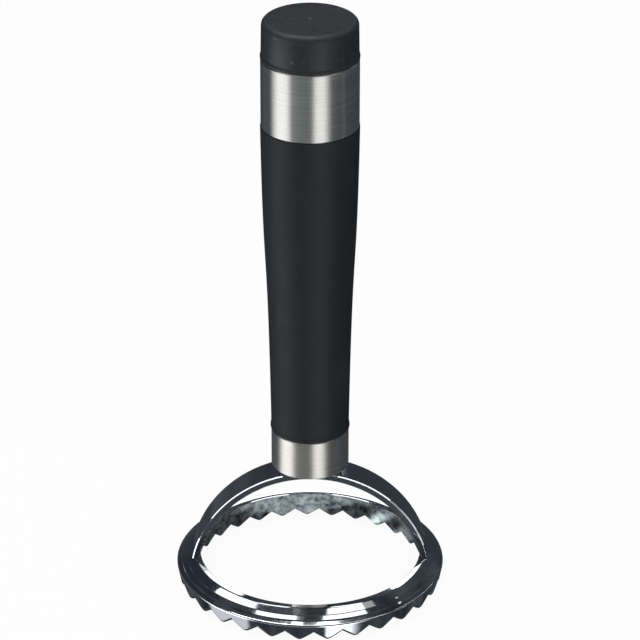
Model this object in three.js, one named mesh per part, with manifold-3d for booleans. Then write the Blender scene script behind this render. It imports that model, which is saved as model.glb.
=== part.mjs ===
// Ravioli cutter: a toothed ring under an arched bail, on a straight handle with two steel ferrules.
// Millimetres, +Z up. The tooth tips stand on z = 0, the handle's axis is the Z axis, the arch
// spans X and the front is -Y.
import * as THREE from 'three';
import { mergeVertices } from 'three/addons/utils/BufferGeometryUtils.js';
import Module from 'manifold-3d';

// Ring, across: from the bore of the rim outwards to the top edge of the skirt
const RIM_BORE_R = 29.65;
const RIM_WIDTH = 1.5;
const SLOPE_WIDTH = 2.2;
const LEDGE_WIDTH = 1.4;
const BROW_WIDTH = 1.25;
const BORE_FLARE = 1.85;
const BORE_EDGE = 0.2;
const TIP_LENGTH = 3.35;

// Ring, upwards: from the tooth tips over four bands, with a small step on both sides of the ledge
const SKIRT_HEIGHT = 4.9;
const BROW_RISE = 0.57;
const LEDGE_RISE = 0.57;
const SLOPE_RISE = 0.77;
const RIM_RISE = 0.3;
const STEP_RISE = 0.345;

// Teeth
const TOOTH_COUNT = 29;
const TOOTH_DEPTH = 2.5;
const TIP_LAND = 0.5;
const TOOTH_TURN_DEG = -4.65;

// Arched bail and the seat on its crown
const ARCH_FOOT = 2.0;
const ARCH_RISE = 25.6;
const ARCH_WALL = 1.9;
const ARCH_WIDTH = 9.7;
const ARCH_EDGE = 0.45;
const SEAT_RISE = 1.1;
const SEAT_LENGTH = 16.0;

// Spigot that stands on the seat, round with two flats
const SPIGOT_R = 4.4;
const SPIGOT_FLAT_DEPTH = 0.8;
const SPIGOT_ROOT = 4.0;

// Handle, from the seat upwards
const LOWER_FERRULE_HEIGHT = 11.1;
const GRIP_LENGTH = 87.1;
const UPPER_FERRULE_HEIGHT = 18.8;
const FERRULE_WALL = 0.8;
const FERRULE_FLOOR = 0.8;
const FERRULE_INSET = 0.15;
const EDGE_BREAK = 0.3;

// Grip outline: one curve that leaves both ends with the same slight taper
const GRIP_FOOT_R = 10.3;
const GRIP_FLARE = 2.51;
const GRIP_END_TAPER = 0.0155;
const GRIP_UPPER_EASE = 0.56;
const GRIP_LOWER_EASE = 0.7;
const GRIP_LIP = 0.22;
const GRIP_LIP_HEIGHT = 1.4;

// End cap
const CAP_INSET = 0.11;
const CAP_DRAFT = 0.15;
const CAP_HEIGHT = 10.1;
const CAP_EDGE_R = 1.5;
const CAP_LIP = 0.2;
const CAP_LIP_HEIGHT = 1.0;
const PLUG_LENGTH = 8.0;

// Core, tie bolt and washer
const CORE_WALL = 1.3;
const BOLT_SEAT_DEPTH = 24.0;
const BOLT_R = 2.5;
const BOLT_HEAD_R = 4.25;
const BOLT_HEAD_HEIGHT = 5.0;
const BOLT_KEY_FLATS = 4.0;
const BOLT_KEY_DEPTH = 2.5;
const THREAD_ENGAGEMENT = 20.0;
const HOLE_RUNOUT = 2.0;
const WASHER_R = 5.0;
const WASHER_THICKNESS = 1.0;

// Clearance between pieces that nest, and how finely round shapes are stepped
const FIT_GAP = 0.2;
const RING_STEPS_PER_TOOTH = 4;
const HANDLE_STEPS = 48;
const BOLT_STEPS = 24;
const GRIP_STEPS = 12;
const EDGE_STEPS = 4;
const ARCH_STEPS = 40;
const ARCH_EDGE_STEPS = 2;
const KEY_SIDES = 6;
const NOTCH_SIDES = 3;
// How far a cutting or joining body runs on past the face that it meets
const OVERRUN = 1.0;

// Radii of the ring
const rimOuterR = RIM_BORE_R + RIM_WIDTH;
const ledgeInnerR = rimOuterR + SLOPE_WIDTH;
const ledgeOuterR = ledgeInnerR + LEDGE_WIDTH;
const ringR = ledgeOuterR + BROW_WIDTH;
const tipInnerR = RIM_BORE_R + BORE_FLARE;
const tipOuterR = tipInnerR + TIP_LENGTH;

// Heights of the ring and the head
const browTopZ = SKIRT_HEIGHT + BROW_RISE;
const ledgeFootZ = browTopZ + STEP_RISE;
const ledgeTopZ = ledgeFootZ + LEDGE_RISE;
const slopeFootZ = ledgeTopZ + STEP_RISE;
const rimFootZ = slopeFootZ + SLOPE_RISE;
const rimTopZ = rimFootZ + RIM_RISE;
const crownZ = rimTopZ + ARCH_RISE;
const seatZ = crownZ + SEAT_RISE;
const spigotTopZ = seatZ + SPIGOT_ROOT + HOLE_RUNOUT + THREAD_ENGAGEMENT;

// The arch's outer face is an arc through the crown and, at the rim's height, both feet
const archFootR = RIM_BORE_R + ARCH_FOOT;
const archR = (archFootR ** 2 + ARCH_RISE ** 2) / (2 * ARCH_RISE);
const archCentreZ = crownZ - archR;

// Heights of the handle
const gripFootZ = seatZ + LOWER_FERRULE_HEIGHT;
const gripTopZ = gripFootZ + GRIP_LENGTH;
const capFootZ = gripTopZ + UPPER_FERRULE_HEIGHT;
const capTopZ = capFootZ + CAP_HEIGHT;
const coreFootZ = seatZ + FERRULE_FLOOR;
const coreTopZ = capFootZ - FIT_GAP;
const boltSeatZ = coreTopZ - BOLT_SEAT_DEPTH;

// Radii of the handle: the lower ferrule is flush with the grip's foot, the rest follows its top
const lowerFerruleR = GRIP_FOOT_R;
const gripTopR = GRIP_FOOT_R + GRIP_FLARE;
const upperFerruleR = gripTopR - FERRULE_INSET;
const capFootR = upperFerruleR - CAP_INSET;
const capTopR = capFootR - CAP_DRAFT;

// Radii inside the handle
const coreR = lowerFerruleR - FERRULE_WALL - FIT_GAP;
const collarR = upperFerruleR - FERRULE_WALL - FIT_GAP;
const headBoreR = coreR - CORE_WALL;
const boltHoleR = BOLT_R + FIT_GAP;

const wasm = await Module();
wasm.setup();

// Geometry with only positions and shared corners, as the joins and cuts need it
function welded(geometry) {
  const bare = geometry.clone();
  bare.deleteAttribute('normal');
  bare.deleteAttribute('uv');
  return mergeVertices(bare);
}

function toSolid(geometry) {
  const { attributes, index } = welded(geometry);
  const vertProperties = new Float32Array(attributes.position.array);
  const triVerts = new Uint32Array(index.array);
  return new wasm.Manifold(new wasm.Mesh({ numProp: 3, vertProperties, triVerts }));
}

function toGeometry(solid) {
  const { vertProperties, triVerts } = solid.getMesh();
  const geometry = new THREE.BufferGeometry();
  geometry.setAttribute('position', new THREE.BufferAttribute(vertProperties, 3));
  geometry.setIndex(new THREE.BufferAttribute(triVerts, 1));
  geometry.computeVertexNormals();
  return geometry;
}

// Turns an outline of [radius, height] points about the Z axis
function revolve(outline, steps = HANDLE_STEPS) {
  const points = outline.map(([r, z]) => new THREE.Vector2(r, z));
  return new THREE.LatheGeometry(points, steps).rotateX(Math.PI / 2);
}

// As revolve, for an outline that goes round a hole and comes back to its first point
function revolveRing(outline, steps = HANDLE_STEPS) {
  return revolve([...outline, outline[0]], steps);
}

// A plain round bar between two heights
function bar(radius, lowZ, highZ, steps) {
  return revolve([[0, lowZ], [radius, lowZ], [radius, highZ], [0, highZ]], steps);
}

// Extrudes an XZ shape along Y, centred on the XZ plane
function extrudeAcross(shape, width, edge = 0) {
  const options = {
    depth: width - 2 * edge,
    curveSegments: ARCH_STEPS,
    bevelEnabled: edge > 0,
    bevelThickness: edge,
    bevelSize: edge,
    bevelOffset: -edge,
    bevelSegments: ARCH_EDGE_STEPS,
  };
  const geometry = new THREE.ExtrudeGeometry(shape, options).rotateX(Math.PI / 2);
  return geometry.translate(0, width / 2 - edge, 0);
}

// Extrudes an XY shape upwards between two heights
function extrudeUp(shape, lowZ, highZ, curveSegments) {
  const options = { depth: highZ - lowZ, curveSegments, bevelEnabled: false };
  return new THREE.ExtrudeGeometry(shape, options).translate(0, 0, lowZ);
}

// Round bar with two flats, front and back, grown all round by a clearance
function spigotShape(clearance) {
  const radius = SPIGOT_R + clearance;
  const flat = SPIGOT_R - SPIGOT_FLAT_DEPTH + clearance;
  const corner = Math.asin(flat / radius);
  const shape = new THREE.Shape();
  shape.absarc(0, 0, radius, -corner, corner, false);
  shape.absarc(0, 0, radius, Math.PI - corner, Math.PI + corner, false);
  shape.closePath();
  return shape;
}

// Points of a quarter round from its outer foot to its inner top
function quarterRound(outerR, footZ, width, height) {
  const points = [];
  for (let i = 0; i <= EDGE_STEPS; i += 1) {
    const angle = (Math.PI / 2) * (i / EDGE_STEPS);
    points.push([outerR - width * (1 - Math.cos(angle)), footZ + height * Math.sin(angle)]);
  }
  return points;
}

// Skirt, brow, ledge, slope and rim in one turned outline
function ringBody() {
  const outline = [
    [tipInnerR, 0],
    [tipOuterR, 0],
    [ringR, SKIRT_HEIGHT],
    [ledgeOuterR, browTopZ],
    [ledgeOuterR, ledgeFootZ],
    [ledgeInnerR, ledgeTopZ],
    [ledgeInnerR, slopeFootZ],
    [rimOuterR, rimFootZ],
    [RIM_BORE_R + BORE_EDGE, rimTopZ],
    [RIM_BORE_R, rimTopZ - BORE_EDGE],
  ];
  return revolveRing(outline, TOOTH_COUNT * RING_STEPS_PER_TOOTH);
}

// One notch between two teeth: a three-sided pyramid whose point lies on the axis at tip height,
// so the notch grows wider and deeper towards the outside and its flanks are flat
function notchBody(bearing) {
  const reach = ringR + OVERRUN;
  const halfPitch = Math.PI / TOOTH_COUNT;
  const grow = reach / tipOuterR;
  const halfWidth = (tipOuterR * Math.tan(halfPitch) - TIP_LAND / 2) * grow;
  const depth = TOOTH_DEPTH * grow;
  // A unit triangle reaches 1 up from its centre to a corner and 1 / spread to either side
  const spread = Math.tan(Math.PI / NOTCH_SIDES);
  const notch = new THREE.ConeGeometry(1, reach, NOTCH_SIDES);
  notch.scale(halfWidth * spread, 1, depth);
  notch.translate(0, -reach / 2, 0);
  return notch.rotateZ(bearing);
}

// Band bent to the arch, with its feet sunk into the rim and its long edges eased
function archBody() {
  const footZ = slopeFootZ - archCentreZ;
  const innerR = archR - ARCH_WALL;
  const outerFoot = Math.asin(footZ / archR);
  const innerFoot = Math.asin(footZ / innerR);
  const shape = new THREE.Shape();
  shape.absarc(0, archCentreZ, archR, outerFoot, Math.PI - outerFoot, false);
  shape.absarc(0, archCentreZ, innerR, Math.PI - innerFoot, innerFoot, true);
  shape.closePath();
  return extrudeAcross(shape, ARCH_WIDTH, ARCH_EDGE);
}

// Flat-topped seat on the crown, filled down to the middle of the arch's wall
function seatBody() {
  const half = SEAT_LENGTH / 2;
  const middleR = archR - ARCH_WALL / 2;
  const end = Math.acos(half / middleR);
  const shape = new THREE.Shape();
  shape.moveTo(half, seatZ);
  shape.lineTo(-half, seatZ);
  shape.absarc(0, archCentreZ, middleR, Math.PI - end, end, true);
  shape.closePath();
  return extrudeAcross(shape, ARCH_WIDTH - 2 * ARCH_EDGE);
}

function cutterHead() {
  let head = toSolid(ringBody());
  for (let i = 0; i < TOOTH_COUNT; i += 1) {
    const bearing = THREE.MathUtils.degToRad(TOOTH_TURN_DEG) + ((i + 0.5) * 2 * Math.PI) / TOOTH_COUNT;
    head = head.subtract(toSolid(notchBody(bearing)));
  }
  const spigot = extrudeUp(spigotShape(0), crownZ - ARCH_WALL / 2, spigotTopZ, BOLT_STEPS);
  const hole = bar(boltHoleR, seatZ + SPIGOT_ROOT, spigotTopZ + OVERRUN, BOLT_STEPS);
  head = head.add(toSolid(archBody())).add(toSolid(seatBody())).add(toSolid(spigot));
  return toGeometry(head.subtract(toSolid(hole)));
}

// Drawn cup whose floor is held between the seat and the core
function lowerFerrule() {
  const innerR = lowerFerruleR - FERRULE_WALL;
  const floorHoleR = SPIGOT_R + FIT_GAP;
  return revolveRing([
    [floorHoleR, seatZ],
    [lowerFerruleR - EDGE_BREAK, seatZ],
    [lowerFerruleR, seatZ + EDGE_BREAK],
    [lowerFerruleR, gripFootZ - EDGE_BREAK],
    [lowerFerruleR - EDGE_BREAK, gripFootZ],
    [innerR, gripFootZ],
    [innerR, coreFootZ],
    [floorHoleR, coreFootZ],
  ]);
}

function handleCore() {
  const body = toSolid(revolveRing([
    [boltHoleR, coreFootZ],
    [coreR, coreFootZ],
    [coreR, gripTopZ],
    [collarR, gripTopZ],
    [collarR, coreTopZ],
    [headBoreR, coreTopZ],
    [headBoreR, boltSeatZ],
    [boltHoleR, boltSeatZ],
  ]));
  const socketTopZ = spigotTopZ + FIT_GAP;
  const socket = extrudeUp(spigotShape(FIT_GAP), coreFootZ - OVERRUN, socketTopZ, BOLT_STEPS);
  return toGeometry(body.subtract(toSolid(socket)));
}

// Waisted sleeve with a small lip where it meets the lower ferrule
function gripSleeve() {
  const boreR = coreR + FIT_GAP;
  const lowerReach = GRIP_LENGTH * GRIP_LOWER_EASE;
  const upperReach = GRIP_LENGTH * GRIP_UPPER_EASE;
  const curve = new THREE.CubicBezierCurve(
    new THREE.Vector2(GRIP_FOOT_R, gripFootZ),
    new THREE.Vector2(GRIP_FOOT_R + lowerReach * GRIP_END_TAPER, gripFootZ + lowerReach),
    new THREE.Vector2(gripTopR - upperReach * GRIP_END_TAPER, gripTopZ - upperReach),
    new THREE.Vector2(gripTopR, gripTopZ),
  );
  const side = curve.getPoints(GRIP_STEPS).slice(1).map(({ x, y }) => [x, y]);
  return revolveRing([
    [boreR, gripFootZ],
    [GRIP_FOOT_R + GRIP_LIP, gripFootZ],
    [GRIP_FOOT_R + GRIP_LIP, gripFootZ + GRIP_LIP_HEIGHT / 2],
    [GRIP_FOOT_R + GRIP_LIP_HEIGHT * GRIP_END_TAPER, gripFootZ + GRIP_LIP_HEIGHT],
    ...side,
    [boreR, gripTopZ],
  ]);
}

function upperFerrule() {
  const innerR = upperFerruleR - FERRULE_WALL;
  return revolveRing([
    [innerR, gripTopZ],
    [upperFerruleR - EDGE_BREAK, gripTopZ],
    [upperFerruleR, gripTopZ + EDGE_BREAK],
    [upperFerruleR, capFootZ - EDGE_BREAK],
    [upperFerruleR - EDGE_BREAK, capFootZ],
    [innerR, capFootZ],
  ]);
}

// Cap with a rounded top edge, a lip over the ferrule's end and a plug down into the core
function endCap() {
  const plugR = headBoreR - FIT_GAP;
  return revolve([
    [0, capFootZ - PLUG_LENGTH],
    [plugR, capFootZ - PLUG_LENGTH],
    [plugR, capFootZ],
    [capFootR + CAP_LIP, capFootZ],
    [capFootR + CAP_LIP, capFootZ + CAP_LIP_HEIGHT / 2],
    [capFootR, capFootZ + CAP_LIP_HEIGHT],
    ...quarterRound(capTopR, capTopZ - CAP_EDGE_R, CAP_EDGE_R, CAP_EDGE_R),
    [0, capTopZ],
  ]);
}

// Long socket-head screw from the seat in the core down into the spigot
function tieBolt() {
  const headZ = boltSeatZ + WASHER_THICKNESS;
  const headTopZ = headZ + BOLT_HEAD_HEIGHT;
  const blank = toSolid(revolve([
    [0, spigotTopZ - THREAD_ENGAGEMENT],
    [BOLT_R, spigotTopZ - THREAD_ENGAGEMENT],
    [BOLT_R, headZ],
    [BOLT_HEAD_R, headZ],
    [BOLT_HEAD_R, headTopZ],
    [0, headTopZ],
  ], BOLT_STEPS));
  const keyR = BOLT_KEY_FLATS / 2 / Math.cos(Math.PI / KEY_SIDES);
  const key = bar(keyR, headTopZ - BOLT_KEY_DEPTH, headTopZ + OVERRUN, KEY_SIDES);
  return toGeometry(blank.subtract(toSolid(key)));
}

function flatWasher() {
  return revolveRing([
    [boltHoleR, boltSeatZ],
    [WASHER_R, boltSeatZ],
    [WASHER_R, boltSeatZ + WASHER_THICKNESS],
    [boltHoleR, boltSeatZ + WASHER_THICKNESS],
  ], BOLT_STEPS);
}

const finishes = {
  chrome: { color: 0xc9ced3, roughness: 0.08, metalness: 1.0 },
  brushedSteel: { color: 0xb9b7b1, roughness: 0.35, metalness: 1.0 },
  softBlack: { color: 0x33363a, roughness: 0.75, metalness: 0.0 },
  capBlack: { color: 0x2e3135, roughness: 0.65, metalness: 0.0 },
  coreBlack: { color: 0x222325, roughness: 0.6, metalness: 0.0 },
  zincSteel: { color: 0xa8a9a6, roughness: 0.4, metalness: 1.0 },
};

function piece(name, geometry, finish) {
  const mesh = new THREE.Mesh(geometry, new THREE.MeshStandardMaterial(finishes[finish]));
  mesh.name = name;
  return mesh;
}

const ravioliCutter = new THREE.Group();
ravioliCutter.add(
  piece('cutter_head', cutterHead(), 'chrome'),
  piece('lower_ferrule', lowerFerrule(), 'brushedSteel'),
  piece('handle_core', handleCore(), 'coreBlack'),
  piece('grip_sleeve', gripSleeve(), 'softBlack'),
  piece('upper_ferrule', upperFerrule(), 'brushedSteel'),
  piece('end_cap', endCap(), 'capBlack'),
  piece('tie_bolt', tieBolt(), 'zincSteel'),
  piece('flat_washer', flatWasher(), 'zincSteel'),
);

export default ravioliCutter;
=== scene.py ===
import math

import bmesh
import bpy
from mathutils import Matrix, Vector
from mathutils.geometry import interpolate_bezier


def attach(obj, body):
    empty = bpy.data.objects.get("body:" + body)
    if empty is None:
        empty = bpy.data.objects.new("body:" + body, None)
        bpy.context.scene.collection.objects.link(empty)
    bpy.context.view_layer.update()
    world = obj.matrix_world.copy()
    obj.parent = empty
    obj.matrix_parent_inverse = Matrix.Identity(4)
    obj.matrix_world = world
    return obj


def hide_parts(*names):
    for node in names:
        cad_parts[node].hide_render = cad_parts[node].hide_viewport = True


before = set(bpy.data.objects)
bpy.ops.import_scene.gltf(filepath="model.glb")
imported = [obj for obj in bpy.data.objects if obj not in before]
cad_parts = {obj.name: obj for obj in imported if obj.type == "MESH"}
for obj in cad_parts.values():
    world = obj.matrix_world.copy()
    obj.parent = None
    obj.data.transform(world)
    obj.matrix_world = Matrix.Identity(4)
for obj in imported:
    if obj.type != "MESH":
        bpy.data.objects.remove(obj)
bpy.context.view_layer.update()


# Cutter ring: the toothed half of the head, cast in zinc and chrome plated. Four turned bands
# climb from the skirt to the rim, and the skirt ends in blunt teeth that cut the dough and crimp
# its edge.
scene = bpy.context.scene
mm = 0.001
hair = 0.001 * mm  # places closer than this are one place
tooth_count = 29
tooth_turn = math.radians(-4.65)
tooth_depth = 2.5 * mm
tip_rounding = 0.14  # as a share of half a tooth
columns_per_tooth = 24
tip_inner, tip_outer, skirt_edge = 31.5, 35.1, 36.06
skirt_height, bore_radius, bore_height = 4.97, 29.65, 7.62
ring_outline = [  # radius, height and the rounding of the edge
    (tip_inner, 0.0, 0.15),
    (tip_outer, 0.0, 0.85),
    (skirt_edge, skirt_height, 0.42),
    (34.85, 5.52, 0.0),  # top of the first band, where a small step starts
    (34.67, 5.99, 0.0),
    (33.42, 6.51, 0.0),  # top of the second band, and the second step
    (33.34, 6.73, 0.0),
    (31.15, 7.5, 0.4),  # top of the third band, the fourth is the rim
    (29.86, 7.82, 0.04),  # narrow lip of the bore
    (bore_radius, bore_height, 0.0),
]
rounding_segments = 4
bore_facing = -0.9  # faces that look this squarely at the axis keep the rough plate


def turned(outline, steps, closed, bearing=0.0):
    """Spins an outline of (radius, height) points, in millimetres, about the handle's axis."""
    bm = bmesh.new()
    side, front = math.sin(bearing), -math.cos(bearing)
    corners = [bm.verts.new((r * side * mm, r * front * mm, z * mm)) for r, z in outline]
    following = corners[1:] + corners[:1] if closed else corners[1:]
    edges = [bm.edges.new(pair) for pair in zip(corners, following)]
    bmesh.ops.spin(
        bm, geom=corners + edges, cent=(0, 0, 0), axis=(0, 0, 1),
        angle=2 * math.pi, steps=steps, use_merge=True,
    )
    bmesh.ops.remove_doubles(bm, verts=bm.verts, dist=hair)
    bmesh.ops.recalc_face_normals(bm, faces=bm.faces)
    return bm


def circle(bm, radius, height):
    """The edges of a turned shape that run round the axis at one radius and height."""
    return [
        edge for edge in bm.edges
        if all(abs(corner.co.z - height * mm) < hair for corner in edge.verts)
        and all(abs(corner.co.xy.length - radius * mm) < hair for corner in edge.verts)
    ]


def circles(bm):
    """All the edges of a turned shape that run round the axis."""
    return [
        edge for edge in bm.edges
        if abs(edge.verts[0].co.z - edge.verts[1].co.z) < hair
        and abs(edge.verts[0].co.xy.length - edge.verts[1].co.xy.length) < hair
    ]


def eased(bm, edges, width, segments=2):
    """Rounds edges by a width in millimetres, or chamfers them with one segment."""
    bmesh.ops.bevel(
        bm, geom=edges, offset=width * mm, offset_type="OFFSET", segments=segments,
        profile=0.5, affect="EDGES", clamp_overlap=True, loop_slide=True, material=-1,
    )


def placed(name, bm, *finishes):
    """Makes an object of a mesh and rides it on the one rigid body. Each corner is shaded by the
    broad faces that meet there, so that flats stay flat beside their eased edges."""
    same_side = 0.75
    bmesh.ops.recalc_face_normals(bm, faces=bm.faces)
    bm.faces.index_update()
    sizes = [face.calc_area() for face in bm.faces]
    shading = []
    for face in bm.faces:
        for corner in face.verts:
            level = [
                other for other in corner.link_faces
                if other.normal.dot(face.normal) > same_side
            ]
            broadest = max(sizes[other.index] for other in level)
            flats = [other.normal for other in level if sizes[other.index] > broadest / 2]
            shading.append(sum(flats, Vector()).normalized())
    mesh = bpy.data.meshes.new(name)
    bm.to_mesh(mesh)
    bm.free()
    mesh.shade_smooth()
    mesh.normals_split_custom_set(shading)
    for finish in finishes:
        mesh.materials.append(finish)
    piece = bpy.data.objects.new(name, mesh)
    scene.collection.objects.link(piece)
    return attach(piece, "root")


class Finish:
    """A material whose Principled shader starts from plain values, and gets its nodes by name."""

    def __init__(self, name, colour, metallic, roughness):
        self.material = bpy.data.materials.new(name)
        self.material.use_nodes = True
        self.tree = self.material.node_tree
        self.shader = self.tree.nodes["Principled BSDF"]
        self.shader.inputs["Base Color"].default_value = (*colour, 1.0)
        self.shader.inputs["Metallic"].default_value = metallic
        self.shader.inputs["Roughness"].default_value = roughness
        self.place = self.tree.nodes.new("ShaderNodeTexCoord").outputs["Object"]

    def grain(self, scale, detail=3.0, roughness=0.5, stretch=(1.0, 1.0, 1.0)):
        """Noise on the piece's own coordinates, with so many grains to the metre."""
        mapping = self.tree.nodes.new("ShaderNodeMapping")
        mapping.inputs["Scale"].default_value = stretch
        noise = self.tree.nodes.new("ShaderNodeTexNoise")
        noise.inputs["Scale"].default_value = scale
        noise.inputs["Detail"].default_value = detail
        noise.inputs["Roughness"].default_value = roughness
        self.tree.links.new(self.place, mapping.inputs["Vector"])
        self.tree.links.new(mapping.outputs["Vector"], noise.inputs["Vector"])
        return noise.outputs["Fac"]

    def spread(self, value, low, high, start=0.3, end=0.7):
        """Turns a noise value into a number between low and high."""
        remap = self.tree.nodes.new("ShaderNodeMapRange")
        remap.inputs["From Min"].default_value = start
        remap.inputs["From Max"].default_value = end
        remap.inputs["To Min"].default_value = low
        remap.inputs["To Max"].default_value = high
        self.tree.links.new(value, remap.inputs["Value"])
        return remap.outputs["Result"]

    def tones(self, value, *stops):
        """Turns a noise value into a colour between stops of (position, colour)."""
        ramp = self.tree.nodes.new("ShaderNodeValToRGB")
        elements = ramp.color_ramp.elements
        while len(elements) < len(stops):
            elements.new(0.5)
        for element, (position, colour) in zip(elements, stops):
            element.position = position
            element.color = (*colour, 1.0)
        self.tree.links.new(value, ramp.inputs["Fac"])
        return ramp.outputs["Color"]

    def relief(self, value, depth, strength):
        """Bumps the surface by a noise value, with its depth in metres."""
        bump = self.tree.nodes.new("ShaderNodeBump")
        bump.inputs["Strength"].default_value = strength
        bump.inputs["Distance"].default_value = depth
        self.tree.links.new(value, bump.inputs["Height"])
        return bump.outputs["Normal"]

    def feed(self, **sockets):
        """Links values to the shader's sockets, named with underscores for spaces."""
        for name, value in sockets.items():
            self.tree.links.new(value, self.shader.inputs[name.replace("_", " ")])


chrome = Finish("bright_chrome_plate", (0.60, 0.615, 0.63), 1.0, 0.05)
smears = chrome.grain(160.0, detail=4.0)
chrome.feed(
    Roughness=chrome.spread(smears, 0.03, 0.085),
    Normal=chrome.relief(chrome.grain(420.0, detail=1.0), 0.00002, 0.6),
)

bore = Finish("unpolished_bore_plate", (0.5, 0.52, 0.54), 1.0, 0.36)
mottle = bore.grain(380.0, detail=6.0, roughness=0.65)
bore.feed(
    Base_Color=bore.tones(mottle, (0.37, (0.08, 0.095, 0.11)), (0.63, (0.76, 0.83, 0.83))),
    Roughness=bore.spread(mottle, 0.26, 0.46),
    Normal=bore.relief(bore.grain(1100.0, detail=5.0, roughness=0.6), 0.00006, 0.6),
)

ring_columns = tooth_count * columns_per_tooth
ring = turned(
    [(radius, height) for radius, height, _ in ring_outline], ring_columns, True, tooth_turn,
)
ring_edges = [
    (circle(ring, radius, height), rounding)
    for radius, height, rounding in ring_outline if rounding
]
for corner in ring.verts:  # the lowest circles are lifted between the tips, along their walls
    if corner.co.z > hair:
        continue
    bearing = math.atan2(corner.co.x, -corner.co.y) - tooth_turn
    column = round(bearing / (2 * math.pi) * ring_columns) % columns_per_tooth
    from_tip = min(column, columns_per_tooth - column) / (columns_per_tooth / 2)
    rise = math.hypot(from_tip, tip_rounding) - tip_rounding
    full_rise = math.hypot(1.0, tip_rounding) - tip_rounding
    if corner.co.xy.length > (tip_inner + tip_outer) / 2 * mm:
        lift = tooth_depth * rise / full_rise
        run = (skirt_edge - tip_outer) / skirt_height
    else:
        lift = tooth_depth * rise / full_rise * tip_inner / tip_outer
        run = (bore_radius - tip_inner) / bore_height
    corner.co.xy *= 1.0 + run * lift / corner.co.xy.length
    corner.co.z = lift
for edges, rounding in ring_edges:
    eased(ring, edges, rounding, rounding_segments)
for face in ring.faces:
    middle = face.calc_center_median()
    if face.normal.dot(Vector((middle.x, middle.y, 0.0)).normalized()) < bore_facing:
        face.material_index = 1
cutter_ring = placed("cutter_ring", ring, chrome.material, bore.material)
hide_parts("cutter_head")


# Arched bail: the flat bow of the same casting, from one side of the rim over to the other. Its
# long edges are chamfered, and its feet run on into the rim.
arch_centre = Vector((0.0, 0.0, 1.034 * mm))
arch_outer, arch_wall, arch_half = 32.366, 1.9, 4.85
foot_angle = math.radians(10.1)
bow_steps = 120
bow_chamfer, chamfer_easing = 0.28, 0.05
corner_turn = 0.3  # radians between two faces that count as a corner

bail = bmesh.new()
section = [
    (arch_outer - arch_wall, -arch_half),
    (arch_outer, -arch_half),
    (arch_outer, arch_half),
    (arch_outer - arch_wall, arch_half),
]
foot_out, foot_up = math.cos(foot_angle), math.sin(foot_angle)
foot = [
    bail.verts.new(arch_centre + Vector((r * foot_out, y, r * foot_up)) * mm)
    for r, y in section
]
foot_edges = [bail.edges.new(pair) for pair in zip(foot, foot[1:] + foot[:1])]
bmesh.ops.spin(
    bail, geom=foot + foot_edges, cent=arch_centre, axis=(0, -1, 0),
    angle=math.pi - 2 * foot_angle, steps=bow_steps,
)
bmesh.ops.holes_fill(bail, edges=bail.edges, sides=4)
bmesh.ops.recalc_face_normals(bail, faces=bail.faces)


def bow_edges():
    """The edges that run along the bow and turn a corner."""
    edges = []
    for edge in bail.edges:
        start, end = (corner.co - arch_centre for corner in edge.verts)
        level = abs(start.y - end.y) < hair
        along = level and abs(start.xz.length - end.xz.length) < 10 * hair
        if along and edge.calc_face_angle() > corner_turn:
            edges.append(edge)
    return edges


eased(bail, bow_edges(), bow_chamfer, 1)
eased(bail, bow_edges(), chamfer_easing, 2)
arch_bail = placed("arch_bail", bail, chrome.material)
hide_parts("cutter_head")


# Handle seat: the flat pad on the crown of the bail, with the keyed spigot that the handle is drawn
# down on. It is part of the casting, and the ferrule and the core cover it.
seat_length, seat_width, seat_easing = 16.0, 8.8, 0.1
seat_foot, seat_top = 31.7, 34.5
spigot_radius, spigot_bore, spigot_flat, spigot_chamfer = 4.4, 2.7, 3.6, 0.4
spigot_foot, spigot_floor, spigot_top = 33.5, 38.5, 60.5
spigot_steps = 64

seat = bmesh.new()
seat_middle = Matrix.Translation((0, 0, (seat_foot + seat_top) / 2 * mm))
seat_size = Matrix.Diagonal(
    (seat_length * mm, seat_width * mm, (seat_top - seat_foot) * mm, 1)
)
bmesh.ops.create_cube(seat, size=1.0, matrix=seat_middle @ seat_size)
level_edges = [
    edge for edge in seat.edges
    if abs(edge.verts[0].co.z - edge.verts[1].co.z) < hair
]
eased(seat, level_edges, seat_easing)
spigot = turned(
    [
        (0.0, spigot_floor),
        (spigot_bore, spigot_floor),
        (spigot_bore, spigot_top),
        (spigot_radius - spigot_chamfer, spigot_top),
        (spigot_radius, spigot_top - spigot_chamfer),
        (spigot_radius, spigot_foot),
        (0.0, spigot_foot),
    ],
    spigot_steps, False,
)
for side in (-1, 1):  # a flat on either side keys the handle
    cut = bmesh.ops.bisect_plane(
        spigot, geom=spigot.verts[:] + spigot.edges[:] + spigot.faces[:], dist=hair,
        plane_co=(0, side * spigot_flat * mm, 0), plane_no=(0, side, 0), clear_outer=True,
    )
    open_edges = [part for part in cut["geom_cut"] if isinstance(part, bmesh.types.BMEdge)]
    bmesh.ops.holes_fill(spigot, edges=open_edges)
spigot_mesh = bpy.data.meshes.new("spigot")
spigot.to_mesh(spigot_mesh)
spigot.free()
seat.from_mesh(spigot_mesh)
bpy.data.meshes.remove(spigot_mesh)
handle_seat = placed("handle_seat", seat, chrome.material)
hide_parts("cutter_head")


# Ferrules: two stainless sleeves drawn over the core, brushed round and round on a lathe. The lower
# one is a cup that the seat carries, the upper one a plain tube between the grip and the cap.
handle_steps = 160
foot_chamfer, top_chamfer, ferrule_easing = 0.3, 0.45, 0.12
lower_radius, lower_bore, lower_hole = 10.3, 9.5, 4.6
lower_top, lower_base = 45.6, 0.8
upper_radius, upper_bore = 12.66, 11.86
upper_foot, upper_top = 132.7, 151.5


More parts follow.
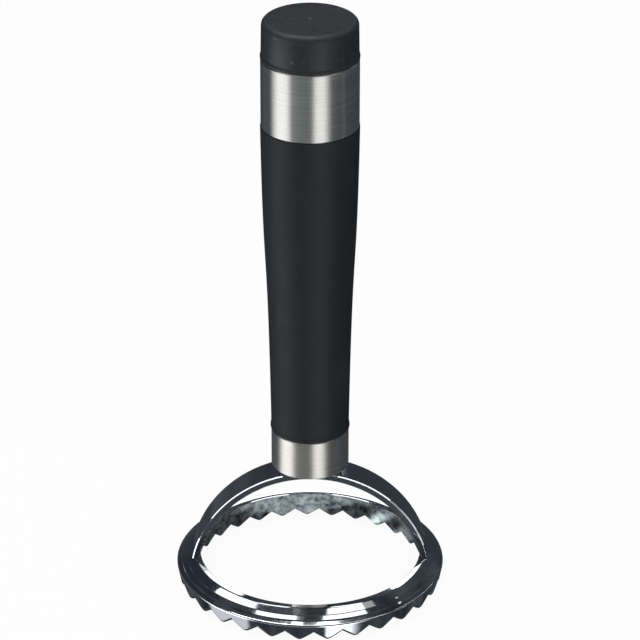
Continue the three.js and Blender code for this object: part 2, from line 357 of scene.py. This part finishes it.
def brushed_steel(name, dark, light, smooth, rough, direction):
    """Stainless steel with fine strokes that run round the handle."""
    steel = Finish(name, light, 1.0, rough)
    strokes = steel.grain(700.0, detail=6.0, roughness=0.7, stretch=(0.05, 0.05, 6.0))
    around = steel.tree.nodes.new("ShaderNodeTangent")
    around.direction_type = "RADIAL"
    around.axis = "Z"
    steel.feed(
        Base_Color=steel.tones(strokes, (0.3, dark), (0.7, light)),
        Roughness=steel.spread(strokes, smooth, rough),
        Normal=steel.relief(strokes, 0.00001, 0.8),
        Tangent=around.outputs["Tangent"],
    )
    steel.shader.inputs["Anisotropic"].default_value = direction
    steel.shader.inputs["Anisotropic Rotation"].default_value = 0.25
    return steel.material


lower = turned(
    [
        (lower_hole, seat_top),
        (lower_radius - foot_chamfer, seat_top),
        (lower_radius, seat_top + foot_chamfer),
        (lower_radius, lower_top - top_chamfer),
        (lower_radius - top_chamfer, lower_top),
        (lower_bore, lower_top),
        (lower_bore, seat_top + lower_base),
        (lower_hole, seat_top + lower_base),
    ],
    handle_steps, True,
)
eased(lower, circles(lower), ferrule_easing)
warm_brushed = brushed_steel(
    "warm_brushed_stainless", dark=(0.46, 0.447, 0.417), light=(0.74, 0.724, 0.68),
    smooth=0.36, rough=0.54, direction=0.86,
)
lower_ferrule = placed("lower_ferrule_sleeve", lower, warm_brushed)
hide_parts("lower_ferrule")

upper = turned(
    [
        (upper_bore, upper_foot),
        (upper_radius - foot_chamfer, upper_foot),
        (upper_radius, upper_foot + foot_chamfer),
        (upper_radius, upper_top - top_chamfer),
        (upper_radius - top_chamfer, upper_top),
        (upper_bore, upper_top),
    ],
    handle_steps, True,
)
eased(upper, circles(upper), ferrule_easing)
brushed = brushed_steel(
    "brushed_stainless", dark=(0.44, 0.435, 0.422), light=(0.72, 0.71, 0.69),
    smooth=0.30, rough=0.48, direction=0.95,
)
upper_ferrule = placed("upper_ferrule_sleeve", upper, brushed)
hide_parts("upper_ferrule")


# Grip: a soft-touch rubber sleeve moulded on the core, slim at the ferrule and fuller towards the
# top, with a small lip where it closes on the lower ferrule.
rubber = Finish("soft_touch_rubber", (0.03, 0.033, 0.038), 0.0, 0.6)
cloud = rubber.grain(90.0, detail=4.0)
rubber.feed(
    Base_Color=rubber.tones(
        cloud, (0.3, (0.0145, 0.0172, 0.0203)), (0.7, (0.0195, 0.023, 0.0265)),
    ),
    Roughness=rubber.spread(cloud, 0.5, 0.62),
    Normal=rubber.relief(rubber.grain(5200.0, detail=2.0), 0.00004, 0.35),
)
rubber.shader.inputs["Specular IOR Level"].default_value = 0.19

grip_foot, grip_top, grip_bore = lower_top, upper_foot, lower_bore
lip_radius, lip_height, lip_slope = 10.52, 0.7, 0.7
neck_radius, grip_easing = 10.322, 0.2
grip_side = interpolate_bezier(  # (radius, height), with two handles that draw the waist in
    Vector((lower_radius, grip_foot)), Vector((11.245, 106.57)),
    Vector((12.054, 83.924)), Vector((12.81, grip_top)), 40,
)
lip_top = grip_foot + lip_height
sleeve = turned(
    [
        (grip_bore, grip_foot),
        (lip_radius, grip_foot),
        (lip_radius, lip_top),
        (neck_radius, lip_top + lip_slope),
    ]
    + [(point.x, point.y) for point in grip_side if point.y > grip_foot + 2.0]
    + [(grip_bore, grip_top)],
    handle_steps, True,
)
rims = [
    edge for edge in circles(sleeve)
    if not (grip_foot + 1.0) * mm <= edge.verts[0].co.z <= (grip_top - 0.1) * mm
]
eased(sleeve, rims, grip_easing, 3)
grip = placed("rubber_grip", sleeve, rubber.material)
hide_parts("grip_sleeve")


# End cap: a black moulding pressed into the core over the upper ferrule. Its top edge is rounded
# for the palm, and a small gate mark is left in the middle of the top.
moulding = Finish("fine_grained_moulding", (0.03, 0.033, 0.037), 0.0, 0.5)
flow = moulding.grain(120.0, detail=4.0)
dust = moulding.grain(760.0, detail=3.0)
moulding.feed(
    Base_Color=moulding.tones(
        dust, (0.3, (0.0165, 0.0185, 0.0215)), (0.68, (0.0225, 0.025, 0.0285)),
        (0.76, (0.10, 0.105, 0.11)),
    ),
    Roughness=moulding.spread(flow, 0.42, 0.54),
    Normal=moulding.relief(moulding.grain(4200.0, detail=3.0), 0.00004, 0.4),
)
moulding.shader.inputs["Specular IOR Level"].default_value = 0.35

cap_foot, cap_top, cap_radius = upper_top, 161.6, 12.4
plug_foot, plug_radius = 143.5, 7.8
bead_radius, wall_radius = 12.75, 12.55
gate_depth, palm_rounding, cap_easing = 0.15, 1.5, 0.12
gate_floor = cap_top - gate_depth
cap = turned(
    [
        (0.0, plug_foot),
        (plug_radius, plug_foot),
        (plug_radius, cap_foot),
        (bead_radius, cap_foot),
        (bead_radius, cap_foot + 0.5),
        (wall_radius, cap_foot + 1.0),
        (cap_radius, cap_top),
        (1.1, cap_top),
        (0.95, gate_floor),
        (0.45, gate_floor),
        (0.35, gate_floor + 0.1),  # the pip of the gate
        (0.0, gate_floor + 0.1),
    ],
    handle_steps, False,
)
eased(cap, circle(cap, cap_radius, cap_top), palm_rounding, 8)
low_edges = [edge for edge in circles(cap) if edge.verts[0].co.z < (cap_foot + 1.5) * mm]
eased(cap, low_edges, cap_easing)
end_cap = placed("moulded_end_cap", cap, moulding.material)
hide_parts("end_cap")


# Core, tie bolt and washer: the hidden inside of the handle, a moulded tube held down on the spigot
# by a long zinc-plated socket screw. They keep their solid shapes.
core_plastic = Finish("core_moulding", (0.02, 0.02, 0.022), 0.0, 0.55)
core_flow = core_plastic.grain(150.0, detail=4.0)
core_plastic.feed(
    Base_Color=core_plastic.tones(
        core_flow, (0.3, (0.015, 0.015, 0.017)), (0.7, (0.026, 0.026, 0.028)),
    ),
    Roughness=core_plastic.spread(core_flow, 0.45, 0.6),
    Normal=core_plastic.relief(core_plastic.grain(3000.0), 0.00004, 0.3),
)
zinc = Finish("zinc_plate", (0.5, 0.5, 0.49), 1.0, 0.4)
spangle = zinc.grain(800.0, detail=3.0)
zinc.feed(
    Base_Color=zinc.tones(spangle, (0.3, (0.42, 0.425, 0.42)), (0.7, (0.58, 0.58, 0.565))),
    Roughness=zinc.spread(spangle, 0.3, 0.5),
    Normal=zinc.relief(zinc.grain(2500.0), 0.00003, 0.3),
)
hidden = {"handle_core": core_plastic, "tie_bolt": zinc, "flat_washer": zinc}
for node, finish in hidden.items():
    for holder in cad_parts[node].material_slots:
        holder.material = finish.material


# Studio: a long lens from in front and above, a white floor that keeps a soft shadow, one lamp
# above, and a dark room with soft boxes that only the gloss of metal, rubber and plastic shows.
white = (1.0, 1.0, 1.0)
camera_pitch = 26.768
camera_data = bpy.data.cameras.new("camera")
camera_data.sensor_fit = "HORIZONTAL"
camera_data.sensor_width = 36.0
camera_data.lens = 201.34
camera_data.shift_x = 0.0155
camera = bpy.data.objects.new("camera", camera_data)
camera.location = (0, -0.83802, 0.49952)
camera.rotation_euler = (math.radians(90 - camera_pitch), 0, 0)
scene.collection.objects.link(camera)
scene.camera = camera
scene.view_settings.view_transform = "Standard"

lamp_data = bpy.data.lights.new("overhead_lamp", "AREA")
lamp_data.size = 0.8
lamp_data.energy = 6.0
lamp = bpy.data.objects.new("overhead_lamp", lamp_data)
lamp.location = (-0.1, -0.1, 1.0)
lamp.visible_glossy = False
scene.collection.objects.link(lamp)


def shining(name, colour, strength, solid=False):
    """A glowing material for the soft boxes, with its tree and its glow. It adds to what is behind
    it, unless it is solid."""
    material = bpy.data.materials.new(name)
    material.use_nodes = True
    tree = material.node_tree
    tree.nodes.clear()
    glow = tree.nodes.new("ShaderNodeEmission")
    glow.inputs["Color"].default_value = (*colour, 1.0)
    glow.inputs["Strength"].default_value = strength
    output = tree.nodes.new("ShaderNodeOutputMaterial")
    surface = glow.outputs["Emission"]
    if not solid:
        added = tree.nodes.new("ShaderNodeAddShader")
        clear = tree.nodes.new("ShaderNodeBsdfTransparent")
        tree.links.new(surface, added.inputs[0])
        tree.links.new(clear.outputs["BSDF"], added.inputs[1])
        surface = added.outputs["Shader"]
    tree.links.new(surface, output.inputs["Surface"])
    return material, tree, glow


def reflected(name, bm, material):
    """A piece of the studio that only the reflections show, not the camera or matt light."""
    mesh = bpy.data.meshes.new(name)
    bm.to_mesh(mesh)
    bm.free()
    mesh.materials.append(material)
    card = bpy.data.objects.new(name, mesh)
    scene.collection.objects.link(card)
    card.visible_camera = False
    card.visible_shadow = False
    card.visible_transmission = False
    card.visible_diffuse = False


def panel(name, bearings, low, high, strength, tint=white):
    """A soft box bowed round the object between two heights in metres. It fades in between the
    first two bearings, in degrees from the front, and out between the last two."""
    material, tree, glow = shining(name, tint, strength)
    place = tree.nodes.new("ShaderNodeTexCoord")
    parts = tree.nodes.new("ShaderNodeSeparateXYZ")
    ahead = tree.nodes.new("ShaderNodeMath")
    ahead.operation = "MULTIPLY"
    ahead.inputs[1].default_value = -1.0
    bearing = tree.nodes.new("ShaderNodeMath")
    bearing.operation = "ARCTAN2"
    tree.links.new(place.outputs["Object"], parts.inputs["Vector"])
    tree.links.new(parts.outputs["Y"], ahead.inputs[0])
    tree.links.new(parts.outputs["X"], bearing.inputs[0])
    tree.links.new(ahead.outputs["Value"], bearing.inputs[1])
    fades = []
    fade_in, fade_out = (*bearings[:2], 0.0, strength), (*bearings[2:], 1.0, 0.0)
    for start, end, before, after in (fade_in, fade_out):
        fade = tree.nodes.new("ShaderNodeMapRange")
        fade.interpolation_type = "SMOOTHSTEP"
        fade.inputs["From Min"].default_value = math.radians(start)
        fade.inputs["From Max"].default_value = math.radians(end)
        fade.inputs["To Min"].default_value = before
        fade.inputs["To Max"].default_value = after
        tree.links.new(bearing.outputs["Value"], fade.inputs["Value"])
        fades.append(fade.outputs["Result"])
    both = tree.nodes.new("ShaderNodeMath")
    both.operation = "MULTIPLY"
    tree.links.new(fades[0], both.inputs[0])
    tree.links.new(fades[1], both.inputs[1])
    tree.links.new(both.outputs["Value"], glow.inputs["Strength"])
    bm = bmesh.new()
    distance, left = 1.2, math.radians(bearings[0])
    foot = Vector((distance * math.sin(left), -distance * math.cos(left), 0.0))
    ends = [bm.verts.new(foot + Vector((0.0, 0.0, z))) for z in (low, high)]
    upright = bm.edges.new(ends)
    bmesh.ops.spin(
        bm, geom=ends + [upright], cent=(0, 0, 0), axis=(0, 0, 1),
        angle=math.radians(bearings[3] - bearings[0]), steps=24,
    )
    reflected(name, bm, material)


def strip(name, start, end, width, strength, tint=white, solid=False):
    """A long soft box that faces the object, from one point to another in metres. A solid and dim
    one is a curtain."""
    start, end = Vector(start), Vector(end)
    middle, along = (start + end) / 2, (end - start) / 2
    across = along.cross(middle).normalized() * width / 2
    place = Matrix((along, across, middle.normalized())).transposed().to_4x4()
    place.translation = middle
    bm = bmesh.new()
    bmesh.ops.create_grid(bm, x_segments=1, y_segments=1, size=1.0, matrix=place)
    reflected(name, bm, shining(name, tint, strength, solid)[0])


def painted_table_glow(name, x, y, radius, strength, depth=0.5, solid=False):
    """A glowing round in the ring, in millimetres, faintly blue: painted light and shade of the
    table.
    """
    bm = bmesh.new()
    bmesh.ops.create_circle(
        bm, cap_ends=True, segments=48, radius=radius * mm,
        matrix=Matrix.Translation((x * mm, y * mm, -depth * mm)),
    )
    reflected(name, bm, shining(name, (0.92, 0.97, 1.0), strength, solid)[0])


room_dark, room_light, room_radius = (0.027, 0.032, 0.040), (0.078, 0.092, 0.108), 4.0
room = bmesh.new()
bmesh.ops.create_uvsphere(room, u_segments=48, v_segments=24, radius=room_radius)
room_finish, room_tree, room_glow = shining("dark_room", room_light, 1.0, True)
room_place = room_tree.nodes.new("ShaderNodeTexCoord")
room_clutter = room_tree.nodes.new("ShaderNodeTexNoise")
room_clutter.inputs["Scale"].default_value = 0.9
room_clutter.inputs["Detail"].default_value = 4.0
room_tones = room_tree.nodes.new("ShaderNodeValToRGB")
room_tones.color_ramp.elements[0].position = 0.36
room_tones.color_ramp.elements[0].color = (*room_dark, 1.0)
room_tones.color_ramp.elements[1].position = 0.62
room_tones.color_ramp.elements[1].color = (*room_light, 1.0)
room_tree.links.new(room_place.outputs["Object"], room_clutter.inputs["Vector"])
room_tree.links.new(room_clutter.outputs["Fac"], room_tones.inputs["Fac"])
room_tree.links.new(room_tones.outputs["Color"], room_glow.inputs["Color"])
reflected("dark_room", room, room_finish)

# Soft boxes to the left and right and a low fill in front, for the handle and the teeth.
panel("left_box", (-104, -88, -54, -46), -1.1, -0.12, 3.1)
panel("right_box", (3, 13, 31, 54), -1.1, -0.12, 3.2)
panel("left_wrap", (-150, -135, -105, -90), -0.62, -0.3, 0.2, (0.95, 1.0, 1.05))
panel("front_fill_high", (-52, -42, 2, 12), -0.43, -0.30, 1.1)
panel("front_fill_low", (-52, -42, 2, 12), -1.05, -0.81, 1.1)
panel("left_low_box", (-113, -105, -68, -62), -2.1, -1.05, 0.85, (0.98, 0.98, 1.04))
panel("right_low_box", (14, 18.5, 38, 54), -2.1, -1.05, 1.9, (0.97, 1.0, 1.0))

# Strips over and behind the object, each for one streak in the bands, the bail or the cap.
strip("left_side_strip", (-0.305, -0.53, 1.03), (-1.144, -0.293, 0.203), 0.12, 2.2)
strip("right_side_strip", (0.305, -0.53, 1.03), (1.01, -0.386, 0.530), 0.11, 2.0)
strip("right_foot_strip", (1.02, -0.38, 0.50), (1.17, -0.14, -0.20), 0.05, 1.2)
strip("right_edge_strip", (0.762, 0.121, 0.919), (0.819, 0.687, 0.545), 0.08, 2.6)
strip("front_left_strip", (-0.06, -0.53, 1.0), (-0.86, -0.19, 1.0), 0.20, 2.0)
strip("front_right_strip", (0.06, -0.53, 1.0), (0.86, -0.19, 1.0), 0.20, 2.0)
strip("back_left_strip", (-0.275, 0.435, 1.0), (-0.505, 0.745, 1.0), 0.10, 2.0)
strip("top_left_strip", (-0.055, 0.196, 1.0), (-0.305, 0.310, 1.0), 0.09, 2.0)
strip("top_right_strip", (0.025, 0.231, 1.0), (0.300, 0.356, 1.0), 0.18, 2.0)
strip("top_right_patch", (0.24, 0.41, 1.0), (0.33, 0.485, 1.0), 0.08, 0.5)
strip("thin_back_strip", (-0.25, 0.475, 1.0), (0.25, 0.475, 1.0), 0.07, 2.0)
strip("far_left_strip", (-0.29, 0.74, 1.0), (-0.50, 1.23, 1.0), 0.09, 2.0)
strip("far_left_wall", (-0.505, 1.25, 1.0), (-0.61, 1.75, 1.0), 0.08, 1.0)
strip("far_right_strip", (0.375, 0.84, 1.0), (0.655, 1.98, 1.0), 0.15, 2.2)
strip("front_middle_strip", (-0.06, -0.60, 1.0), (0.06, -0.60, 1.0), 0.08, 2.4)
strip("overhead_box", (-0.10, 0.025, 1.0), (0.20, 0.025, 1.0), 0.25, 5.0)
strip("overhead_left_box", (-0.75, 0.015, 1.0), (-0.12, 0.015, 1.0), 0.23, 9.0)
strip("back_box", (0.0, 1.2, -0.24), (0.0, 1.2, 0.0), 0.38, 1.8)

# Dark curtains behind the strips, for the right of the bail and the left of the ring.
curtain_blue = (0.78, 1.0, 1.2)
deep_blue = (0.78, 1.0, 1.3)
strip("right_curtain", (1.2, 3.29, -1.9), (1.2, 3.29, 1.6), 1.5, 0.054, curtain_blue, True)
strip("left_curtain", (-1.5, 2.9, 1.5), (-1.1, 1.75, 2.75), 1.6, 0.037, deep_blue, True)

# Painted light and shade of the table, seen in the bore and the inner faces of the teeth.
# A dim solid glow paints the table in the ring's shade, the brighter ones paint its lit patches.
painted_table_glow("painted_dim_table_in_ring", 0.0, 0.0, 31.0, 0.08, 0.7, True)
painted_table_glow("painted_lit_table_behind", -2.0, 20.0, 11.0, 0.55)
painted_table_glow("painted_lit_table_by_tooth", 16.0, 24.3, 1.6, 2.2)
painted_table_glow("painted_lit_table_right", 23.5, 18.5, 3.2, 0.35)


def seen_directly(tree):
    """One where the camera, a reflection or a clear piece looks at it, zero for other light."""
    path = tree.nodes.new("ShaderNodeLightPath")
    either = tree.nodes.new("ShaderNodeMath")
    either.operation = "MAXIMUM"
    all_three = tree.nodes.new("ShaderNodeMath")
    all_three.operation = "MAXIMUM"
    tree.links.new(path.outputs["Is Camera Ray"], either.inputs[0])
    tree.links.new(path.outputs["Is Glossy Ray"], either.inputs[1])
    tree.links.new(either.outputs["Value"], all_three.inputs[0])
    tree.links.new(path.outputs["Is Transmission Ray"], all_three.inputs[1])
    return all_three.outputs["Value"]


world = bpy.data.worlds.new("white_studio")
world.use_nodes = True
scene.world = world
world_strength = world.node_tree.nodes.new("ShaderNodeMapRange")
world_strength.inputs["To Min"].default_value = 0.5  # as light on the object
world_strength.inputs["To Max"].default_value = 1.0  # as the white ground that is seen
background = world.node_tree.nodes["Background"]
background.inputs["Color"].default_value = (*white, 1.0)
world.node_tree.links.new(seen_directly(world.node_tree), world_strength.inputs["Value"])
world.node_tree.links.new(world_strength.outputs["Result"], background.inputs["Strength"])

floor_finish = bpy.data.materials.new("white_floor")
floor_finish.use_nodes = True
floor_tree = floor_finish.node_tree
floor_tree.nodes.clear()
floor_matt = floor_tree.nodes.new("ShaderNodeBsdfDiffuse")
floor_matt.inputs["Color"].default_value = (0.85, 0.85, 0.85, 1)
floor_white = floor_tree.nodes.new("ShaderNodeEmission")
floor_mix = floor_tree.nodes.new("ShaderNodeMixShader")
floor_share = floor_tree.nodes.new("ShaderNodeMapRange")
floor_share.inputs["To Max"].default_value = 0.94
floor_output = floor_tree.nodes.new("ShaderNodeOutputMaterial")
floor_tree.links.new(seen_directly(floor_tree), floor_share.inputs["Value"])
floor_tree.links.new(floor_share.outputs["Result"], floor_mix.inputs["Fac"])
floor_tree.links.new(floor_matt.outputs["BSDF"], floor_mix.inputs[1])
floor_tree.links.new(floor_white.outputs["Emission"], floor_mix.inputs[2])
floor_tree.links.new(floor_mix.outputs["Shader"], floor_output.inputs["Surface"])
floor_mesh = bpy.data.meshes.new("floor")
floor_shape = bmesh.new()
bmesh.ops.create_grid(floor_shape, x_segments=1, y_segments=1, size=6.0)
floor_shape.to_mesh(floor_mesh)
floor_shape.free()
floor_mesh.materials.append(floor_finish)
floor = bpy.data.objects.new("floor", floor_mesh)
scene.collection.objects.link(floor)
floor.visible_glossy = False
